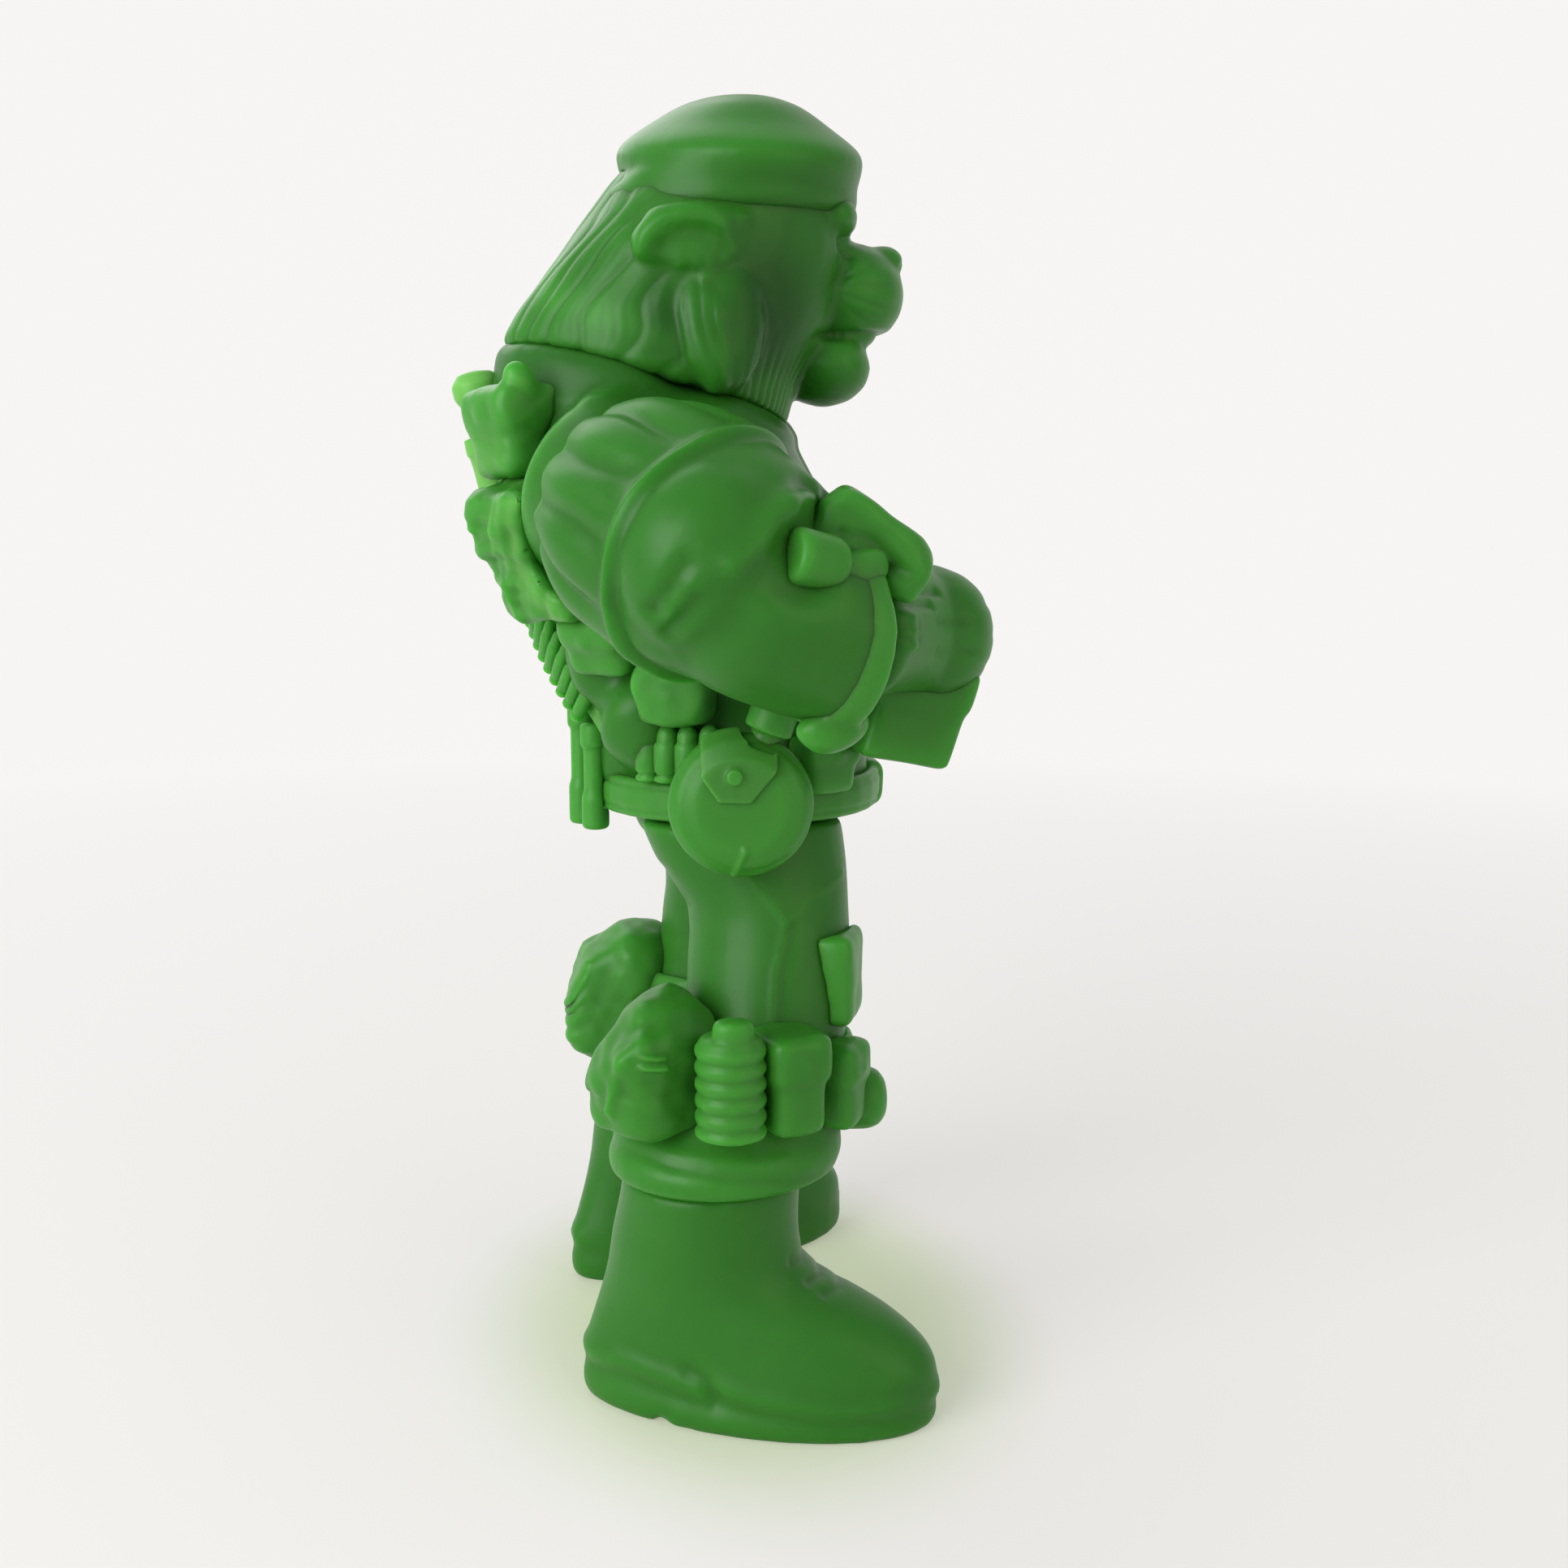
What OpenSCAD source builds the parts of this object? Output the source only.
// Toy soldier figure, cast in translucent green vinyl: an ape in a beret, hung with field gear.
// Millimetres, +Z up. The figure faces -Y and its right side is -X.
// Head, arms, legs and boots are castings that turn on flanged plugs, and the gear is glued on.

/* [Boots] */
// Height of a boot, floor to trouser cuff
boot_height = 43; // [39:1:48]
// Length of a boot along the foot
boot_length = 64; // [58:1:70]
// Width of a boot across the ball of the foot
boot_width = 28; // [24:1:31]
// Thickness of the sole
sole_thickness = 5; // [3:0.5:6]
// Depth of the arch cut between heel and sole
arch_depth = 2; // [1:0.5:3]
// Width of the boot shaft
shaft_width = 29; // [27:1:31]
// Outward turn of the right boot
right_toe_out = 21; // [10:1:30]
// Outward turn of the left boot
left_toe_out = 20; // [10:1:30]
// Distance between the two boot joints
stance = 60; // [56:1:66]

/* [Trouser legs] */
// Height of a leg, cuff to jacket hem
leg_height = 59.5; // [55:0.5:65]
// Distance between the two hip joints
hip_spacing = 33; // [32:0.5:35]
// Width of a leg at the hip
hip_width = 29; // [26:0.5:30]
// Width of a leg at the knee
knee_width = 29; // [26:1:31]
// Width of the rolled cuff
cuff_width = 38; // [36:1:41]
// Height of the rolled cuff
cuff_height = 8; // [6:0.5:10]

/* [Jacket] */
// Height of the jacket, hem to the middle of the neck seam
jacket_height = 75; // [72:1:80]
// Width of the jacket at the hem
hem_width = 57; // [55:1:62]
// Width of the jacket at the chest
chest_width = 62; // [58:1:66]
// Depth of the jacket at the hem, front to back
hem_depth = 48; // [46:1:52]
// Depth of the jacket at the chest
chest_depth = 59; // [55:1:62]
// Forward tilt of the neck seam
neck_tilt = 15; // [10:1:20]
// Height of the belt band
belt_height = 7; // [5:0.5:9]
// Thickness of the belt band
belt_thickness = 2.6; // [2:0.2:4]

/* [Arms] */
// Radius of an arm at the shoulder seam
shoulder_radius = 19; // [17:0.5:20]
// Length of the upper arm, shoulder seam to elbow
upper_arm = 33; // [30:1:36]
// Length of the forearm, elbow to the gauntlet rim
forearm = 16.5; // [14:0.5:20]
// Radius of the gauntlet at its rim
rim_radius = 17.5; // [15:0.5:18]
// Size of a fist
fist_size = 19; // [16:1:21]

/* [Head] */
// Width of the head across the cheeks
head_width = 51; // [47:1:55]
// Height of the head, seam to the crown under the beret
head_height = 40; // [37:1:43]
// How far the muzzle stands out from the face
muzzle_reach = 12; // [9:0.5:14]
// Width of the beret
beret_width = 53; // [50:1:57]
// Height of the beret crown
beret_height = 10.5; // [9:0.5:13]
// Sideways slouch of the beret towards the right ear
beret_slouch = 11; // [4:1:16]

/* [Joints] */
// Radius of the neck plug
neck_plug_radius = 13; // [11:0.5:14]
// Radius of the shoulder plugs
shoulder_plug_radius = 8; // [6:0.5:9]
// Radius of the hip plugs
hip_plug_radius = 8; // [6:0.5:9]
// Radius of the boot plugs
boot_plug_radius = 8; // [6:0.5:9]
// Step of each flange beyond its plug
flange_step = 2.4; // [1.5:0.1:3]
// Thickness of each flange
flange_thickness = 3; // [2:0.5:4]
// Wall that each plug passes through
joint_wall = 3.5; // [3:0.5:5]
// Running clearance of a plug in its hole, on the radius
plug_clearance = 0.05; // [0.02:0.01:0.1]
// Gap between two castings at a seam
seam_gap = 0.35; // [0.3:0.05:0.6]

/* [Gear] */
// Diameter of the canteen
canteen_diameter = 24; // [20:1:26]
// Thickness of the canteen
canteen_thickness = 9; // [7:0.5:11]
// Diameter of the two belt torches
torch_diameter = 5; // [4:0.5:6]
// Diameter of the ribbed canister on the leg
canister_diameter = 11; // [9:0.5:12]
// Length of the ribbed canister
canister_length = 19; // [16:1:21]
// Diameter of the pommel on the back
pommel_diameter = 9; // [7:0.5:11]
// Diameter of the scabbard at its mouth
scabbard_diameter = 9; // [7:0.5:10]
// Diameter of a bandolier round
round_diameter = 2.6; // [2:0.1:2.7]
// Number of rounds on the bandolier
round_count = 17; // [9:1:17]
// Diameter of a round on the belt
belt_round_diameter = 3.7; // [3:0.1:4]
// Thickness of webbing straps
strap_thickness = 1.6; // [1.2:0.2:2.4]

/* [Hidden] */
$fn = 40;
vinyl = [0.16, 0.45, 0.14];
gear_vinyl = [0.2, 0.52, 0.18];
torso_sides = 32;
head_sides = 32;
limb_sides = 28;
hem_z = boot_height + leg_height;
pocket_gap = 0.4;

// Entry i of a list, held at its ends.
function held(list, i) = list[max(0, min(len(list) - 1, i))];

// Smooth blend from b to c, with a and d as their neighbours.
function blend(a, b, c, d, t) = b + t * (c - a) / 2 + t * t * (2 * a - 5 * b + 4 * c - d) / 2
    + t * t * t * (3 * b - a - 3 * c + d) / 2;

// Stations of a loft with smooth ones added between them.
function smooth(list, steps) = concat(
    [for (i = [0 : len(list) - 2]) each [for (k = [0 : steps - 1])
        blend(held(list, i - 1), list[i], list[i + 1], held(list, i + 2), k / steps)]],
    [list[len(list) - 1]]);

// Level ring of a station [x, y, z, half width, half depth, widening towards the front].
function level_ring(s, sides) = [for (k = [0 : sides - 1]) let (a = 360 * k / sides)
    [s[0] + s[3] * sin(a) * (1 + s[5] * cos(a)), s[1] - s[4] * cos(a), s[2]]];

// The same station, larger all round.
function grown(s, by) = [s[0], s[1], s[2], s[3] + by, s[4] + by, s[5]];

function unit(v) = v / norm(v);

// Ring square to a path at a station [x, y, z, half width, half height].
function path_ring(list, i, sides, by = 0) = let (
    s = list[i],
    a = held(list, i - 1),
    b = held(list, i + 1),
    t = unit([b[0] - a[0], b[1] - a[1], b[2] - a[2]]),
    e = unit(cross(t, [0, 0, 1])),
    f = cross(t, e)) [for (k = [0 : sides - 1]) let (q = 360 * k / sides)
        [s[0], s[1], s[2]] + (s[3] + by) * cos(q) * e + (s[4] + by) * sin(q) * f];

// Closed skin over a row of rings.
module loft(rings) {
    n = len(rings[0]);
    m = len(rings);
    sides = [for (i = [0 : m - 2]) for (k = [0 : n - 1]) let (j = (k + 1) % n) each [
        [i * n + k, (i + 1) * n + k, (i + 1) * n + j], [i * n + k, (i + 1) * n + j, i * n + j]]];
    ends = [[for (k = [0 : n - 1]) k], [for (k = [n - 1 : -1 : 0]) (m - 1) * n + k]];
    polyhedron([for (r = rings) each r], concat(sides, ends), convexity = 6);
}

module level_loft(stations, sides) {
    loft([for (s = stations) level_ring(s, sides)]);
}

module path_loft(stations, sides) {
    loft([for (i = [0 : len(stations) - 1]) path_ring(stations, i, sides)]);
}

// Egg-shaped lump with its own half sizes.
module lobe(place, size, sides = 18, rings = 6) {
    translate(place) loft([for (i = [0 : rings]) let (q = -82 + 164 * i / rings)
        level_ring([0, 0, size[2] * sin(q) / sin(82), size[0] * cos(q), size[1] * cos(q), 0], sides)]);
}

// Turns +Z to the direction v.
module aim(v) {
    rotate([0, acos(v[2] / norm(v)), atan2(v[1], v[0])]) children();
}

// Flanged plug, standing on Z = 0 of the casting that carries it.
module plug(radius) {
    top = joint_wall + seam_gap + flange_thickness;
    edge = flange_thickness / 3;
    rotate_extrude() polygon([[0, -1], [radius, -1], [radius, joint_wall + seam_gap],
        [radius + flange_step, joint_wall + seam_gap], [radius + flange_step, top - edge],
        [radius + flange_step - edge, top], [0, top]]);
}

// Hole and pocket for a plug, cut from Z = 0 of the casting that receives it.
module socket(radius) {
    wide = radius + flange_step + pocket_gap;
    low = joint_wall - pocket_gap / 2;
    rotate_extrude() polygon([[0, -1], [radius + plug_clearance, -1], [radius + plug_clearance, low],
        [wide, low], [wide, joint_wall + flange_thickness + pocket_gap],
        [0, joint_wall + flange_thickness + pocket_gap]]);
}

// Box with round upright edges: width along X, out along -Y, standing on Z = 0.
module soft_box(width, height, out, sink, edge) {
    hull() {
        for (side = [-1, 1]) {
            translate([side * (width / 2 - edge), edge - out, 0]) cylinder(r = edge, h = height, $fn = 16);
            translate([side * (width / 2 - 0.1) - 0.1, sink - 0.2, 0]) cube([0.2, 0.2, height]);
        }
    }
}

// Pouch with a flap and its stud.
flap_lip = 0.8;

module pouch(width, height, out, sink) {
    flap = height * 0.42;
    edge = min(width, out) * 0.3;
    soft_box(width, height, out, sink, edge);
    translate([0, 0, height - flap]) soft_box(width + 2 * flap_lip, flap + flap_lip, out + flap_lip, sink, edge);
    translate([0, -out - flap_lip, height - flap * 0.55]) rotate([90, 0, 0]) cylinder(r = width * 0.1, h = 0.8, $fn = 16);
}

// Trouser leg and boot joints of the right side.
hip = [-hip_spacing / 2, -4.4, hem_z];
ankle = [-stance / 2, 2.8, boot_height];

// Stations of the jacket: hem, belt, waist, ribs, chest, shoulders, collar and the cut above it.
function jacket_z(share) = hem_z + jacket_height * share;
waist_width = (hem_width + chest_width) / 2 - 4;
collar_width = chest_width - 12;
torso_stations = smooth([
    [0, -6, hem_z, hem_width / 2, hem_depth / 2, 0],
    [0, -6.4, jacket_z(0.1), hem_width / 2 - 0.5, hem_depth / 2, 0],
    [0, -4.7, jacket_z(0.26), waist_width / 2, hem_depth / 2 + 2, 0],
    [0, -0.7, jacket_z(0.46), waist_width / 2 + 1.5, chest_depth / 2 - 1.5, 0],
    [0, 4.3, jacket_z(0.65), chest_width / 2, chest_depth / 2, 0],
    [0, 9, jacket_z(0.82), chest_width / 2 - 1, chest_depth / 2 - 2, 0],
    [0, 11.3, jacket_z(0.94), collar_width / 2 + 1, chest_depth / 2 - 4, 0],
    [0, 12.3, jacket_z(1.07), collar_width / 2 - 2, chest_depth / 2 - 6, 0],
    [0, 12.8, jacket_z(1.18), collar_width / 2 - 4, chest_depth / 2 - 8, 0]], 2);

// Jacket surface at a height and a direction: 0 is the front, 90 its right side, 180 the back.
function jacket_mid(z) = lookup(z, [for (s = torso_stations) [s[2], s[1]]]);
function jacket_half(z) = lookup(z, [for (s = torso_stations) [s[2], s[3]]]);
function jacket_deep(z) = lookup(z, [for (s = torso_stations) [s[2], s[4]]]);
function jacket_skin(z, a) = [-jacket_half(z) * sin(a), jacket_mid(z) - jacket_deep(z) * cos(a), z];
function jacket_normal(z, a) = unit([-sin(a) / jacket_half(z), -cos(a) / jacket_deep(z), 0]);

// Local frame on the jacket: X along it, -Y out of it, Z up it.
module on_jacket(z, a, out = 0) {
    n = jacket_normal(z, a);
    rise = (jacket_skin(z + 4, a) - jacket_skin(z - 4, a)) * n;
    translate(jacket_skin(z, a) + out * n) rotate([0, 0, atan2(n[0], -n[1])]) rotate([atan2(rise, 8), 0, 0]) children();
}

// Part of the jacket's outer form between two heights, grown by some thickness.
module jacket_slab(low, high, by = 0) {
    step = jacket_height / 9;
    foot = low < hem_z ? [torso_stations[0] - [0, 0, 3, 0, 0, 0]] : [];
    body = [for (s = torso_stations) if (s[2] > low - step && s[2] < high + step) s];
    level_loft([for (s = concat(foot, body)) grown(s, by)], torso_sides);
}

// Rounded rise of the jacket from the chest to the right shoulder seam.
module shoulder_rise() {
    hull() {
        translate(shoulder) aim(arm_way) translate([0, 0, -2 - seam_gap]) cylinder(r = shoulder_radius, h = 2);
        translate([-8, 7.8, jacket_z(0.7)]) sphere(r = shoulder_radius + 1, $fn = 24);
    }
}

// Stations of the right trouser leg: cuff, cuff top, shin, knee, thigh and hip.
function leg_at(share) = [ankle[0] + (hip[0] - ankle[0]) * share, 0, boot_height + leg_height * share];
leg_stations = smooth([
    [ankle[0], 0.8, boot_height, cuff_width / 2 - 1, cuff_width / 2 + 0.5, 0],
    [ankle[0] + 0.3, 0.4, boot_height + cuff_height * 0.5, cuff_width / 2, cuff_width / 2 + 1.5, 0],
    [leg_at(0.14)[0], -0.8, boot_height + cuff_height, cuff_width / 2 - 1.5, cuff_width / 2, 0],
    [leg_at(0.24)[0], -4.2, leg_at(0.24)[2], knee_width / 2 + 0.8, knee_width / 2 + 1.5, 0],
    [leg_at(0.4)[0], -7.4, leg_at(0.4)[2], knee_width / 2, knee_width / 2, 0],
    [leg_at(0.58)[0], -8.6, leg_at(0.58)[2], knee_width / 2, knee_width / 2, 0],
    [leg_at(0.74)[0], -8.8, leg_at(0.74)[2], hip_width / 2, knee_width / 2 - 0.2, 0],
    [leg_at(0.87)[0], -6.2, leg_at(0.87)[2], hip_width / 2, hip_width / 2 + 2.4, 0],
    [hip[0], hip[1], hem_z - seam_gap, hip_width / 2, hip_width / 2 + 3.6, 0]], 2);

function leg_mid(z) = [for (i = [0, 1]) lookup(z, [for (s = leg_stations) [s[2], s[i]]])];
function leg_half(z) = lookup(z, [for (s = leg_stations) [s[2], s[3]]]);
function leg_deep(z) = lookup(z, [for (s = leg_stations) [s[2], s[4]]]);
function leg_skin(z, a) = [leg_mid(z)[0] - leg_half(z) * sin(a), leg_mid(z)[1] - leg_deep(z) * cos(a), z];
function leg_normal(z, a) = unit([-sin(a) / leg_half(z), -cos(a) / leg_deep(z), 0]);

module on_leg(z, a, out = 0) {
    n = leg_normal(z, a);
    translate(leg_skin(z, a) + out * n) rotate([0, 0, atan2(n[0], -n[1])]) children();
}

module leg_slab(low, high, by = 0) {
    step = leg_height / 10;
    level_loft([for (s = leg_stations) if (s[2] > low - step && s[2] < high + step) grown(s, by)], limb_sides);
}

// Shoulder seam of the right arm and the way that the arm leaves it.
shoulder = [-chest_width / 2 - 3, 19.3, jacket_z(0.735)];
arm_way = unit([-0.70, -0.59, -0.39]);
elbow = shoulder + upper_arm * arm_way;

// Castings

module torso() {
    color(vinyl) difference() {
        union() {
            difference() {
                union() {
                    level_loft(torso_stations, torso_sides);
                    for (side = [0, 1]) mirror([side, 0, 0]) shoulder_rise();
                }
                neck_frame() translate([-100, -100, 0]) cube([200, 200, 60]);
                for (side = [0, 1]) mirror([side, 0, 0]) translate(shoulder) aim(arm_way)
                    translate([0, 0, -seam_gap]) cylinder(r1 = shoulder_radius + 0.6 + seam_gap, r2 = shoulder_radius + 3, h = 30);
            }
            neck_frame() plug(neck_plug_radius);
        }
        for (side = [0, 1]) mirror([side, 0, 0]) {
            translate(shoulder - seam_gap * arm_way) aim(-arm_way) socket(shoulder_plug_radius);
            translate([hip[0], hip[1], hem_z]) socket(hip_plug_radius);
        }
    }
}

// Middle of the neck seam, with Z along the neck.
module neck_frame() {
    translate([0, 9.1, hem_z + jacket_height]) rotate([neck_tilt, 0, 0]) children();
}

seam_z = hem_z + jacket_height;
function head_z(share) = seam_z + head_height * share;

// Stations of the skull and mane, from below the seam up to the crown under the beret.
head_stations = smooth([
    [0, 9.3, head_z(-0.4), head_width / 2 - 5, 23, 0],
    [0, 9.3, head_z(-0.2), head_width / 2 - 3.5, 24.5, 0],
    [0, 8.8, head_z(0), head_width / 2 - 1.5, 26, 0],
    [0, 6.3, head_z(0.2), head_width / 2 - 0.3, 28.5, 0],
    [0, 2.6, head_z(0.38), head_width / 2, 28, 0],
    [0, -0.8, head_z(0.58), head_width / 2, 25.6, 0],
    [0, -3.6, head_z(0.78), head_width / 2 - 1.5, 22, 0],
    [0, -4.7, head_z(0.94), head_width / 2 - 6, 17.5, 0],
    [0, -4.7, head_z(1.03), head_width / 2 - 14, 10, 0]], 2);

module head_slab(low, high, by = 0) {
    step = head_height / 9;
    level_loft([for (s = head_stations) if (s[2] > low - step && s[2] < high + step) grown(s, by)], head_sides);
}

face = -25.2;

module head() {
    color(vinyl) difference() {
        union() {
            level_loft(head_stations, head_sides);
            lobe([0, face - 1, head_z(0.43)], [13.5, muzzle_reach - 1, 9.4], 22, 8);
            lobe([0, face + 2.6, head_z(0.11)], [11, muzzle_reach - 3.4, 6.8], 22);
            lobe([0, face - muzzle_reach + 4, head_z(0.575)], [6.5, 4.2, 3.4]);
            brow_and_ears();
            for (side = [-1, 1]) lobe([side * (head_width / 2 - 3.4), -1.7, head_z(0.22)], [5.6, 6.6, 11.5]);
        }
        neck_frame() translate([-100, -100, seam_gap - 80]) cube([200, 200, 80]);
        neck_frame() translate([0, 0, seam_gap]) socket(neck_plug_radius);
    }
}

module brow_and_ears() {
    for (side = [-1, 1]) {
        lobe([side * 8, face + 3.4, head_z(0.72)], [10, 5, 4.2]);
        translate([side * (head_width / 2 - 0.6), 3.3, head_z(0.55)]) rotate([0, side * 14, 0]) ear();
    }
}

// Ear: a low bowl under a rolled rim.
module ear() {
    lobe([0, -0.5, -1], [2.4, 8, 5.4]);
    lobe([0.6, 0, 2.8], [3, 9.2, 2.7]);
    lobe([0.6, 7, -0.5], [2.8, 2.6, 4.6]);
}

beret_mid = [-2.5, -6.8, head_z(0.99)];

module beret() {
    half = beret_width / 2;
    deep = half - 4.5;
    color(vinyl) difference() {
        translate(beret_mid) rotate([0, -beret_slouch, 0]) level_loft(smooth([
            [0, 0, -9, half - 5.2, deep - 1.6, 0],
            [0, 0, -6, half - 3.4, deep - 0.9, 0],
            [0, 0, -2.6, half - 1, deep - 0.7, 0],
            [0, 0, 0, half, deep, 0],
            [0, 0, beret_height * 0.2, half - 1.2, deep - 1.2, 0],
            [0, 0, beret_height * 0.52, half - 7.5, deep - 6, 0],
            [0, 0, beret_height * 0.85, half - 13.5, deep - 11.5, 0],
            [0, 0, beret_height, half - 20, deep - 17, 0]], 2), head_sides);
        head_slab(head_z(0.5), head_z(1.1));
        brow_and_ears();
    }
}

// Stations along a straight line, each given as [distance, half width, half height].
function straight(start, way, list) = smooth([for (k = list) concat(start + k[0] * way, [k[1], k[2]])], 2);

right_wrist_way = unit([5, -14, -6.4]);
right_hand_way = unit([22, -24, -4]);
left_wrist_way = unit([5, -14, -3]);
left_hand_way = unit([24, -22, 3]);
hand_length = 35.5;
hand_sides = 20;

// Upper arm: pleated sleeve, its rolled edge, and the bare arm that ends in the elbow.
sleeve_hem = upper_arm * 0.64;
sleeve_room = 0.8;

module sleeve(by = 0) {
    r = shoulder_radius + by;
    path_loft(straight(shoulder, arm_way, [[0, r, r], [sleeve_hem * 0.5, r + 0.9, r + 0.9],
        [sleeve_hem, r + 0.9, r + 1.1], [upper_arm - 2, r - 1, r - 0.4], [upper_arm + 4, r - 4, r - 3.2],
        [upper_arm + 9, r - 10, r - 9]]), limb_sides);
}

// Gauntlet from behind the elbow to its rim.
gauntlet_high = shoulder_radius - 0.8;
module gauntlet(wrist_way) {
    r = rim_radius;
    path_loft(straight(elbow, wrist_way, [[-13, r - 9.5, gauntlet_high - 10], [-9, r - 4.6, gauntlet_high - 5],
        [-3, r - 1, gauntlet_high - 1], [forearm * 0.3, r - 0.4, gauntlet_high], [forearm * 0.75, r - 0.4, gauntlet_high],
        [forearm, r - 1, gauntlet_high - 0.4]]), limb_sides);
}

function wrist(wrist_way) = elbow + forearm * wrist_way;
right_wrist = wrist(right_wrist_way);
rim_width = 5;
rim_rise = 1.6;
rim_drop = 0.7;

// Hand from inside the gauntlet to the knuckles.
module hand(wrist_way, hand_way) {
    r = fist_size / 2;
    path_loft(straight(wrist(wrist_way), hand_way, [[-5, r - 1.5, r - 1.5], [1, r + 2.4, r + 3], [5, r + 2, r + 2.6],
        [hand_length * 0.45, r - 0.5, r + 0.8], [hand_length * 0.8, r - 2, r - 0.6],
        [hand_length * 0.92, r - 4, r - 3]]), hand_sides);
}

// Closed fist at the end of a hand.
module fist(wrist_way, hand_way) {
    lobe(wrist(wrist_way) + hand_length * 0.766 * hand_way, fist_size * [0.58, 0.52, 0.57], 22, 8);
}

module arm(wrist_way, hand_way) {
    union() {
        sleeve();
        gauntlet(wrist_way);
        hand(wrist_way, hand_way);
        fist(wrist_way, hand_way);
        translate(shoulder) aim(-arm_way) plug(shoulder_plug_radius);
    }
}

module right_arm() {
    color(vinyl) difference() {
        arm(right_wrist_way, right_hand_way);
        gauntlet_hollow();
    }
}

module left_arm() {
    color(vinyl) mirror([1, 0, 0]) arm(left_wrist_way, left_hand_way);
}

// Leg of the right side, with its plug at the hip and its socket for the boot.
module leg() {
    difference() {
        union() {
            level_loft(leg_stations, limb_sides);
            translate([hip[0], hip[1], hem_z - seam_gap]) plug(hip_plug_radius);
        }
        translate(ankle) socket(boot_plug_radius);
    }
}

module right_leg() {
    color(vinyl) leg();
}

module left_leg() {
    color(vinyl) mirror([1, 0, 0]) leg();
}

// Boot of the right side: sole with an arch, foot and shaft, with the plug of its swivel.
module boot(toe_out) {
    back = boot_length * 0.375;
    mid = back - boot_length / 2;
    half = boot_width / 2;
    shaft = shaft_width / 2;
    top = boot_height - seam_gap;
    translate([ankle[0], ankle[1], 0]) rotate([0, 0, -toe_out]) {
        difference() {
            union() {
                level_loft([
                    [0, mid, 0, half - 0.6, boot_length / 2 - 0.6, 0.1],
                    [0, mid, 1, half, boot_length / 2, 0.1],
                    [0, mid, sole_thickness, half, boot_length / 2, 0.1]], limb_sides);
                level_loft(smooth([
                    [0, mid, sole_thickness - 0.5, half - 1, boot_length / 2 - 1, 0.1],
                    [0, mid - 0.3, sole_thickness + 4, half - 0.3, boot_length / 2 - 0.4, 0.1],
                    [0, mid + 0.1, 13.5, half - 0.6, boot_length / 2 - 2.1, 0.08],
                    [0, mid + 2.6, 18.5, half - 0.8, boot_length / 2 - 6, 0.04],
                    [0, mid + 6, 22, half - 0.8, boot_length / 2 - 10.4, 0],
                    [0, mid + 8.7, 26, shaft - 1.2, boot_length / 2 - 14.1, 0],
                    [0, mid + 9.3, 31, shaft - 0.8, boot_length / 2 - 15.4, 0],
                    [0, 0.4, top - 4, shaft, shaft + 1.2, 0],
                    [0, 0, top, shaft + 0.4, shaft + 1.2, 0]], 2), limb_sides);
            }
            translate([-40, 0.5, -1]) cube([80, 7, arch_depth + 1]);
        }
        translate([0, 0, top]) plug(boot_plug_radius);
    }
}

module right_boot() {
    color(vinyl) boot(right_toe_out);
}

module left_boot() {
    color(vinyl) mirror([1, 0, 0]) boot(left_toe_out);
}

// Belt and back gear

module belt() {
    color(gear_vinyl) difference() {
        belt_form();
        jacket_slab(hem_z - 1, hem_z + belt_height + 1);
        for (s = [0, 1]) mirror([s, 0, 0]) translate([hip[0], hip[1], hem_z]) socket(hip_plug_radius);
    }
}

// Outer form of the belt, also for seating what hangs on it.
module belt_form() {
    edge = 0.7;
    level_loft([for (s = [[0, edge], [1, 0], [belt_height - 1, 0], [belt_height, edge]]) let (z = hem_z + s[0])
        grown([0, jacket_mid(z), z, jacket_half(z), jacket_deep(z), 0], belt_thickness - s[1])], torso_sides);
}

// Height and direction on the jacket along the bandolier, from the left shoulder to the right hip.
function bandolier_z(t) = jacket_z(0.8 - 0.6 * t);
function bandolier_a(t) = 222 - 76 * t;
function bandolier_point(t) = jacket_skin(bandolier_z(t), bandolier_a(t));
function bandolier_out(t) = jacket_normal(bandolier_z(t), bandolier_a(t));
function bandolier_way(t) = unit(bandolier_point(t + 0.01) - bandolier_point(t - 0.01));
bandolier_width = 9;

module bandolier_strap() {
    half = bandolier_width / 2;
    color(gear_vinyl) difference() {
        loft([for (i = [0 : 24]) let (
            t = i / 24,
            p = bandolier_point(t),
            n = bandolier_out(t),
            e = cross(bandolier_way(t), n)) [
                p + strap_thickness * n - half * e, p + strap_thickness * n + half * e,
                p - 3 * n + half * e, p - 3 * n - half * e]]);
        jacket_slab(hem_z, jacket_z(1.0));
        mirror([1, 0, 0]) shoulder_rise();
    }
}

// Round with a rim at its foot and a pointed nose, along Z.
module cartridge(length) {
    r = round_diameter / 2;
    rotate_extrude($fn = 24) polygon([[0, 0], [r, 0], [r, 0.8], [r * 0.85, 1.1], [r, 1.4], [r, length * 0.6],
        [r * 0.86, length * 0.78], [r * 0.5, length * 0.94], [0, length]]);
}

module bandolier_rounds() {
    length = bandolier_width + 2;
    color(gear_vinyl) for (i = [0 : round_count - 1]) let (
        t = 0.16 + 0.71 * i / (round_count - 1),
        n = bandolier_out(t),
        e = cross(bandolier_way(t), n))
        translate(bandolier_point(t) + (strap_thickness + round_diameter / 2 + 0.15) * n - length / 2 * e)
            aim(e) cartridge(length);
}

// Scabbard on the upper back, and the handle that stands in it.
scabbard_side = 184;
scabbard_lift = 0.15 * scabbard_diameter;
function scabbard_point(share) = jacket_skin(jacket_z(share), scabbard_side)
    + scabbard_lift * jacket_normal(jacket_z(share), scabbard_side);
scabbard_mouth = scabbard_point(0.89);
scabbard_tip = scabbard_point(0.62);
scabbard_way = unit(scabbard_mouth - scabbard_tip);

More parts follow.
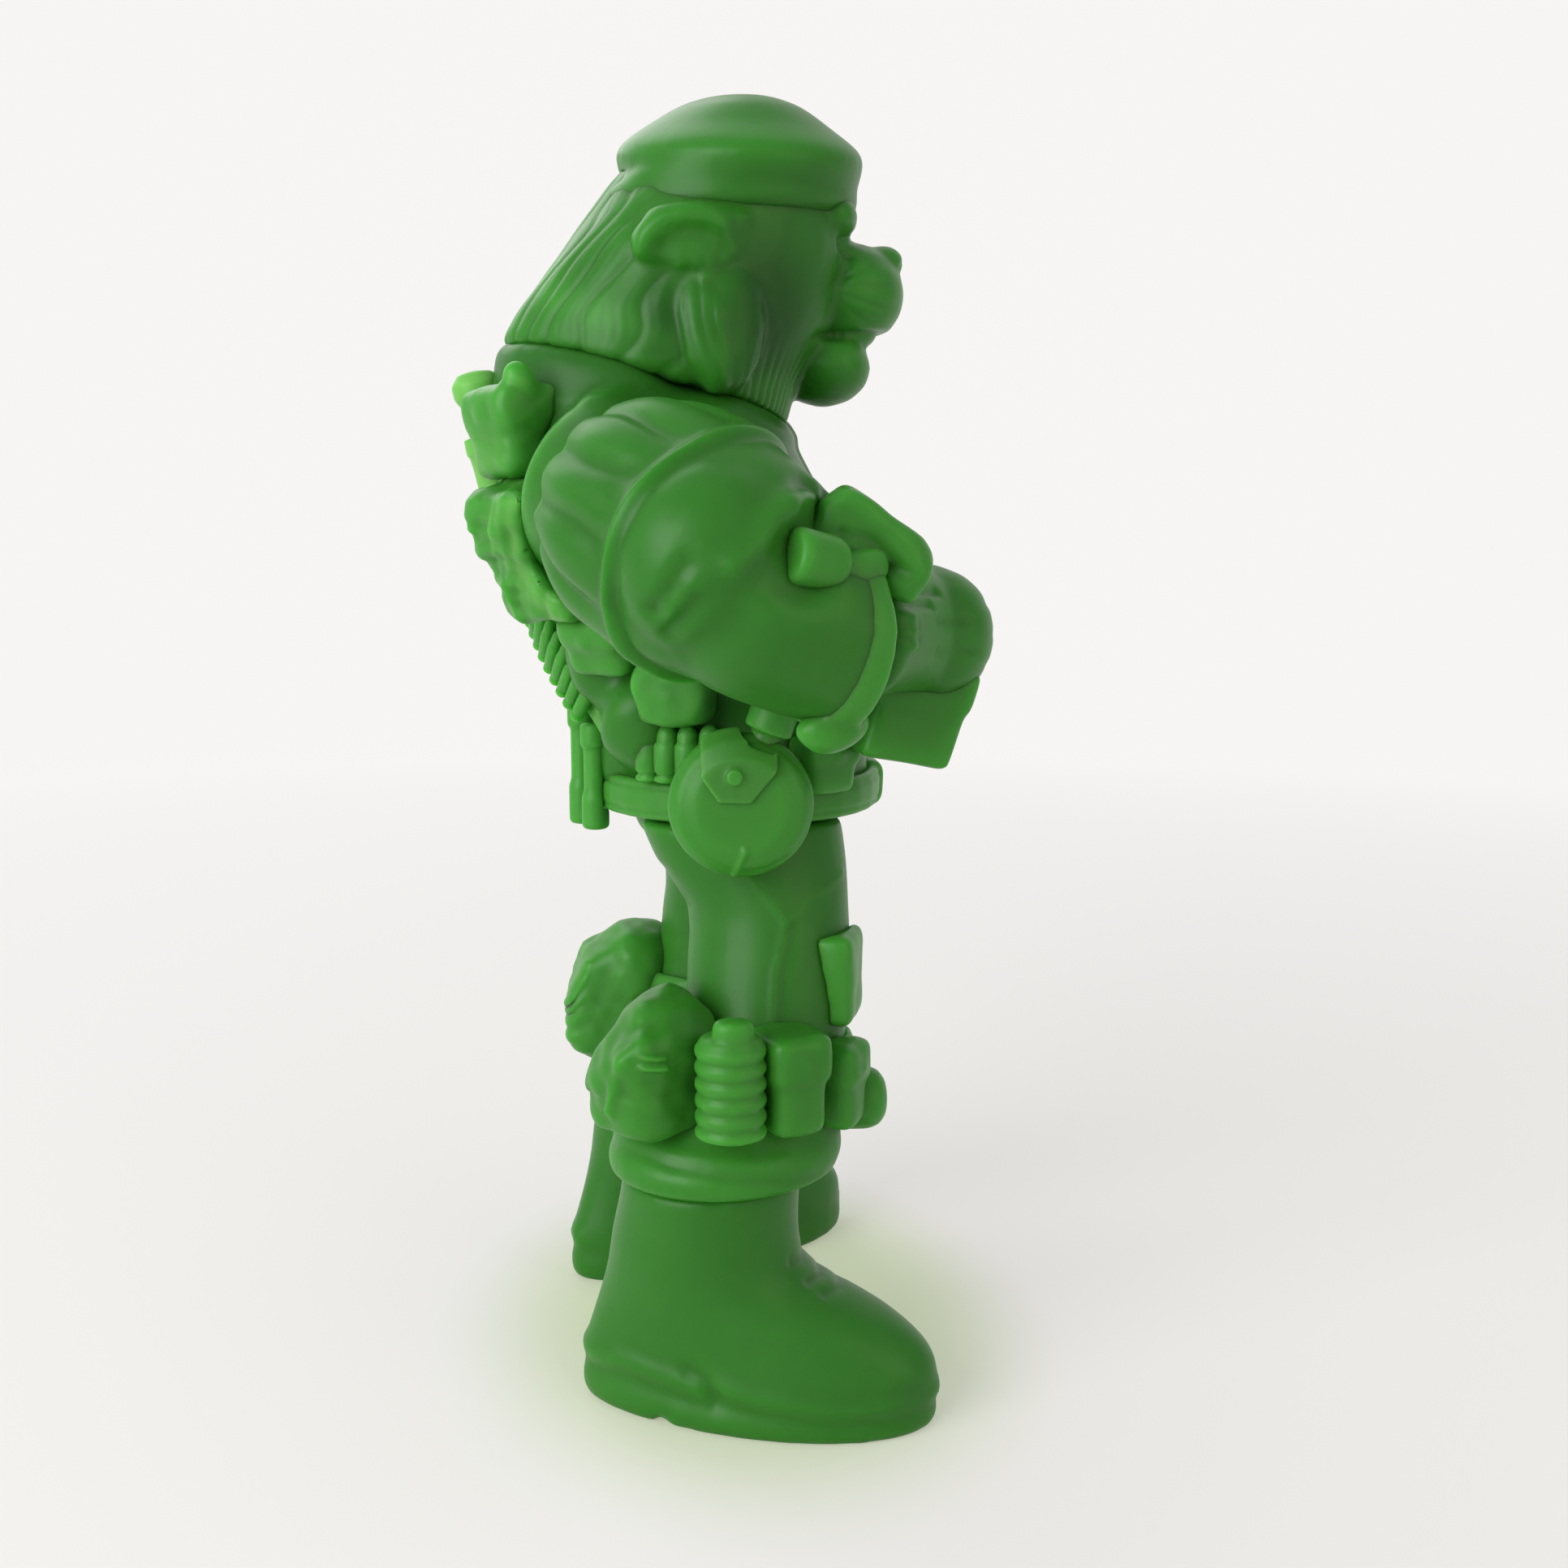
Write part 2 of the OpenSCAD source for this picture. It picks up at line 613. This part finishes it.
module scabbard() {
    r = scabbard_diameter / 2;
    long = norm(scabbard_mouth - scabbard_tip);
    color(gear_vinyl) difference() {
        translate(scabbard_tip) aim(scabbard_way) rotate_extrude() polygon([[0, 0], [r * 0.45, 0.4], [r * 0.7, 2],
            [r * 0.9, long - 3], [r, long - 3], [r, long], [0, long]]);
        jacket_slab(jacket_z(0.5), jacket_z(1.1));
    }
}

module scabbard_handle() {
    r = pommel_diameter / 2;
    color(gear_vinyl) difference() {
        translate(scabbard_mouth) aim(scabbard_way) rotate_extrude() polygon([[0, 0], [r * 0.75, 0], [r * 0.75, 1.2],
            [r * 0.5, 1.6], [r * 0.55, 4.5], [r * 0.8, 5.2], [r, 7.2], [r, 9.2], [r * 0.7, 11], [0, 11.6]]);
        jacket_slab(jacket_z(0.7), jacket_z(1.1));
    }
}

module upper_back_pouch() {
    color(gear_vinyl) difference() {
        on_jacket(jacket_z(0.79), 150) pouch(13, jacket_height * 0.173, 5.5, 5);
        jacket_slab(jacket_z(0.5), jacket_z(1.1));
        shoulder_rise();
    }
}

module lower_back_bag() {
    color(gear_vinyl) difference() {
        on_jacket(jacket_z(0.5), 148) {
            pouch(19, jacket_height * 0.28, 7.5, 6);
            for (z = [0.04, 0.087]) translate([0, 0, jacket_height * z]) soft_box(19.8, 1.4, 8, 6, 2);
        }
        jacket_slab(jacket_z(0.2), jacket_z(0.9));
        shoulder_rise();
    }
}

module side_pouch() {
    color(gear_vinyl) difference() {
        on_jacket(jacket_z(0.36), 138) pouch(12, jacket_height * 0.115, 5, 4);
        jacket_slab(jacket_z(0.1), jacket_z(0.6));
        shoulder_rise();
        sleeve(sleeve_room);
    }
}

// Pouch with a half-round flap, above the belt.
round_pouch_at = 0.245;

module round_pouch() {
    color(gear_vinyl) difference() {
        on_jacket(jacket_z(round_pouch_at), 117) {
            soft_box(12, jacket_height * 0.12, 4.6, 4, 1.6);
            translate([0, 4, jacket_height * 0.08]) rotate([90, 0, 0]) cylinder(r = jacket_height * 0.0853, h = 9.4);
            translate([0, -5.4, jacket_height * 0.06]) rotate([90, 0, 0]) cylinder(r = 1.3, h = 0.8);
        }
        jacket_slab(hem_z, jacket_z(0.4));
        belt_form();
        sleeve(sleeve_room);
    }
}

// Short row of rounds that hangs above the belt beside the canteen.
module belt_rounds() {
    r = belt_round_diameter / 2;
    high = jacket_z(round_pouch_at) - hem_z - belt_height - 1.3;
    color(gear_vinyl) for (i = [0 : 3]) let (a = 108 + 7.9 * i, z = hem_z + belt_height + 0.2)
        translate(jacket_skin(z + high / 2, a) * [[1, 0, 0], [0, 1, 0], [0, 0, 0]] + [0, 0, z]
            + (r + 0.5) * jacket_normal(z, a))
            rotate_extrude($fn = 24) polygon([[0, 0], [r * 0.6, 0.5], [r, 2], [r, high * 0.45], [r * 0.6, high * 0.55],
                [r * 0.95, high * 0.68], [r * 0.95, high * 0.86], [r * 0.5, high], [0, high]]);
}

// Canteen at the right hip, hung from the belt by a loop, with its screw cap and cover flaps.
canteen_side = 98;
cap_room = 10.9;
canteen_z = right_wrist[2] - gauntlet_high - rim_rise - cap_room;
canteen_gap = 2.6;
canteen_out = belt_thickness + canteen_gap + canteen_thickness / 2;

module at_canteen() {
    on_jacket_upright(canteen_z, canteen_side, canteen_out) children();
}

module on_jacket_upright(z, a, out) {
    n = jacket_normal(z, a);
    translate(jacket_skin(z, a) + out * n) rotate([0, 0, atan2(n[0], -n[1])]) children();
}

// Lens outline of half the canteen, grown by some thickness.
function canteen_outline(by) = let (r = canteen_diameter / 2 + by, t = canteen_thickness / 2 + by)
    [[0, -t], [r * 0.62, -t], [r * 0.86, -t * 0.72], [r, -t * 0.28], [r, t * 0.28], [r * 0.86, t * 0.72],
        [r * 0.62, t], [0, t]];

module canteen_form(by) {
    rotate([90, 0, 0]) rotate_extrude() polygon(canteen_outline(by));
}

module canteen() {
    color(gear_vinyl) difference() {
        at_canteen() {
            canteen_form(0);
            translate([-5, 0, hem_z + 0.8 - canteen_z]) cube([10, 9, belt_height - 1.6]);
        }
        jacket_slab(hem_z - 1, hem_z + 16);
        belt_form();
    }
}

cap_lean = 20;

module canteen_cap() {
    color(gear_vinyl) at_canteen() rotate([0, cap_lean, 0])
        translate([0, 0, canteen_diameter / 2]) difference() {
            rotate_extrude() polygon([[0, -1], [2.6, -1], [2.6, 0.6], [3.8, 0.8], [4, 1.2], [4, 4.6], [3.4, 5.4], [0, 5.4]]);
            translate([0, 0, -canteen_diameter / 2]) canteen_form(0);
        }
}

module canteen_flaps() {
    leaf = canteen_diameter * 0.36;
    color(gear_vinyl) at_canteen() {
        difference() {
            intersection() {
                canteen_form(0.9);
                union() {
                    translate([0, 0, leaf * 0.2]) rotate([90, 0, 0]) linear_extrude(20) polygon([[-leaf * 0.75, leaf * 2],
                        [-leaf * 0.75, 0.4 * leaf], [-leaf * 0.4, -0.1 * leaf], [0.2 * leaf, -0.1 * leaf],
                        [leaf * 0.7, 0.5 * leaf], [leaf * 0.7, leaf * 2]]);
                }
            }
            canteen_form(0);
            rotate([0, cap_lean, 0]) translate([0, 0, canteen_diameter / 2 - 2]) cylinder(r = 4.6, h = 12);
        }
        translate([-0.1 * leaf, -canteen_thickness / 2 - 0.6, 0.6 * leaf]) rotate([90, 0, 0]) cylinder(r = 1.4, h = 1.1);
    }
}

// Two slim torches that hang side by side at the back of the belt, each with a lens head and a tail cap.
module torch(side, out, long) {
    r = torch_diameter / 2;
    on_jacket_upright(hem_z, side, out) {
        translate([0, 0, -torch_drop]) rotate_extrude($fn = 32) polygon([[0, 0], [r * 0.8, 0], [r, 0.6], [r, long * 0.3],
            [r * 0.82, long * 0.36], [r * 0.82, long * 0.76], [r * 1.04, long * 0.78], [r * 1.04, long - 0.6],
            [r * 0.8, long], [0, long]]);
        translate([-r * 0.6, 0, 1]) cube([r * 1.2, r + 1, belt_height - 2]);
    }
}

torch_drop = 3.6;

module hip_torch() {
    color(gear_vinyl) difference() {
        union() {
            torch(168, belt_thickness + 0.6, jacket_height * 0.26);
            torch(181, belt_thickness + 2, jacket_height * 0.312);
            on_jacket_upright(hem_z + 1, 174, 1) translate([-torch_diameter / 2, -2.6, 0])
                cube([torch_diameter, 3, belt_height - 2]);
        }
        belt_form();
        jacket_slab(hem_z - 1, hem_z + 28);
    }
}

module front_pouch() {
    color(gear_vinyl) difference() {
        on_jacket_upright(hem_z + belt_height - 1.5, 65, 1) pouch(9, 8.5, 3.8, 4);
        belt_form();
        jacket_slab(hem_z - 1, hem_z + 16);
    }
}

// Gear of the arms

// Rim of a gauntlet: a raised band round its mouth.
module rim_form(wrist_way) {
    steps = [[-0.72, 0.6], [-0.55, 1], [0.15, 1], [0.28, 0.5]];
    path_loft([for (k = steps) concat(wrist(wrist_way) + rim_width * k[0] * wrist_way - [0, 0, rim_drop],
        [rim_radius - 1 + rim_rise * k[1], gauntlet_high - 0.4 + rim_rise * k[1]])], limb_sides);
}

module rim(wrist_way, hand_way) {
    difference() {
        rim_form(wrist_way);
        sleeve();
        gauntlet(wrist_way);
        hand(wrist_way, hand_way);
    }
}

module right_cuff() {
    color(gear_vinyl) difference() {
        rim(right_wrist_way, right_hand_way);
        gauntlet_hollow();
        receiver_form();
    }
}

module left_cuff() {
    color(gear_vinyl) mirror([1, 0, 0]) rim(left_wrist_way, left_hand_way);
}

right_fist = right_wrist + (hand_length - 3) * right_hand_way;

// Hollow in the top of the right gauntlet, and the knobbed handle that lies in it.
hollow_mid = right_wrist + [-12.5, -2, 16];
hollow_side = right_wrist + [-24, 6.5, 10];
handle_foot = right_wrist + [-10.5, -3.5, 6.5];
handle_way = unit([-5, 9.8, 2.2]);

module gauntlet_hollow() {
    lobe(hollow_mid, [9.5, 13.5, 8.5], 20, 8);
    lobe(hollow_side, [8.5, 11, 9], 20, 8);
}

module bolt_handle() {
    color(gear_vinyl) difference() {
        translate(handle_foot) aim(handle_way) rotate_extrude() polygon([[0, 0], [2.3, 0], [2.3, 7.2], [3.6, 7.6],
            [4.3, 8.8], [4.3, 15.6], [3.6, 16.6], [0, 16.6]]);
        held_cut();
        receiver_form();
        difference() {
            rim_form(right_wrist_way);
            gauntlet_hollow();
        }
    }
}

// Receiver of the weapon: a sloping block from the top of the gauntlet down to the fist.
receiver_slope = 33;
receiver_half = 7.5;

module receiver_form() {
    translate(right_wrist + [-2.4, -5.6, 14.6]) rotate([receiver_slope, 0, 0]) {
        hull() {
            translate([-receiver_half, -9.5, -8]) cube([2 * receiver_half, 18.5, 6.4]);
            translate([1.6 - receiver_half, -8, -2]) cube([2 * receiver_half - 3.2, 16, 2]);
        }
        translate([2 - receiver_half, 1.5, -1]) cube([receiver_half, 6.5, 2.2]);
    }
}

module receiver() {
    color(gear_vinyl) difference() {
        receiver_form();
        held_cut();
    }
}

module magazine() {
    color(gear_vinyl) difference() {
        translate(right_fist + [-2, 4.8, -fist_size * 0.36]) rotate([9, 0, 0]) translate([0, 0, -13.5]) {
            translate([-6.5, -8, 0]) cube([13, 15, 12.5]);
            translate([-7.2, -8.7, 8]) cube([14.4, 16.4, 5.5]);
        }
        held_cut();
    }
}

// Forearm and hand, cut from what lies in the hollow or in the fist.
module held_cut() {
    difference() {
        union() {
            hand(right_wrist_way, right_hand_way);
            fist(right_wrist_way, right_hand_way);
            gauntlet(right_wrist_way);
        }
        gauntlet_hollow();
    }
}

// Gear of the legs

module leg_strap() {
    low = leg_at(0.27)[2];
    difference() {
        leg_strap_form();
        leg_slab(low - 1, low + 7);
    }
}

module right_leg_strap() {
    color(gear_vinyl) leg_strap();
}

module left_leg_strap() {
    color(gear_vinyl) mirror([1, 0, 0]) leg_strap();
}

// Cuts a piece of leg gear to the leg and its strap.
module seated_on_leg() {
    difference() {
        children();
        leg_slab(boot_height, leg_at(0.62)[2]);
        leg_strap_form();
    }
}

module leg_strap_form() {
    low = leg_at(0.27)[2];
    level_loft([for (z = [low, low + 1, low + 5, low + 6]) concat(leg_mid(z), [z, leg_half(z) + strap_thickness
        - (z == low || z == low + 6 ? 0.5 : 0), leg_deep(z) + strap_thickness - (z == low || z == low + 6 ? 0.5 : 0), 0])],
        limb_sides);
}

gear_foot = boot_height + cuff_height + 2.5;
front_pouch_foot = gear_foot - 1.5;
front_pouch_height = leg_height * 0.244;
plate_gap = 1;

module leg_bag() {
    color(gear_vinyl) seated_on_leg() on_leg(gear_foot, 150, 1) {
        soft_box(16, 18, 8, 9, 4);
        translate([0, 0, 12]) soft_box(17, 8, 9, 9, 4);
        translate([0, 0, 19]) soft_box(11, 4, 5, 9, 3);
    }
}

module leg_canister() {
    r = canister_diameter / 2;
    rib = canister_length / 6;
    color(gear_vinyl) seated_on_leg() on_leg(gear_foot + 0.5, 102, r * 0.6) rotate_extrude() polygon(concat([[0, 0]],
        [for (i = [0 : 5]) each [[r, i * rib + 0.4], [r, i * rib + rib * 0.62], [r * 0.9, i * rib + rib * 0.72],
            [r * 0.9, i * rib + rib]]], [[r * 0.7, 6 * rib + 0.8], [0, 6 * rib + 0.8]]));
}

module rear_magazine_pouch() {
    color(gear_vinyl) seated_on_leg() on_leg(gear_foot + 0.5, 70, 0.6) pouch(7.2, leg_height * 0.286, 4.6, 6);
}

module front_magazine_pouch() {
    color(gear_vinyl) seated_on_leg() on_leg(front_pouch_foot, 31.5, 0.4) pouch(6.6, front_pouch_height, 4, 6);
}

module knee_knob() {
    color(gear_vinyl) seated_on_leg() on_leg(gear_foot, 6, 0) {
        rotate([90, 0, 0]) translate([0, 0, -4]) rotate_extrude() polygon([[0, 0], [4.6, 0], [4.6, 8], [4, 9.6], [2.6, 10.6], [0, 11]]);
    }
}

module thigh_plate() {
    color(gear_vinyl) difference() {
        on_leg(front_pouch_foot + front_pouch_height + flap_lip + plate_gap, 22, 0)
            soft_box(13, leg_height * 0.252, 1.4, 6, 1.2);
        leg_slab(leg_at(0.3)[2], leg_at(0.85)[2]);
    }
}

module left_leg_bag() {
    color(gear_vinyl) mirror([1, 0, 0]) seated_on_leg() on_leg(gear_foot - 3, 172, 0.5) {
        soft_box(18, 20, 5, 9, 4);
        for (i = [0 : 3]) translate([0, 0, 2 + 4.6 * i]) soft_box(19, 2.6, 6, 9, 4);
    }
}

torso();
head();
beret();
belt();
bandolier_strap();
bandolier_rounds();
scabbard();
scabbard_handle();
upper_back_pouch();
lower_back_bag();
side_pouch();
round_pouch();
belt_rounds();
canteen();
canteen_cap();
canteen_flaps();
hip_torch();
front_pouch();
right_arm();
right_cuff();
bolt_handle();
receiver();
magazine();
left_arm();
left_cuff();
right_leg();
right_leg_strap();
leg_bag();
leg_canister();
rear_magazine_pouch();
front_magazine_pouch();
knee_knob();
thigh_plate();
left_leg();
left_leg_strap();
left_leg_bag();
right_boot();
left_boot();
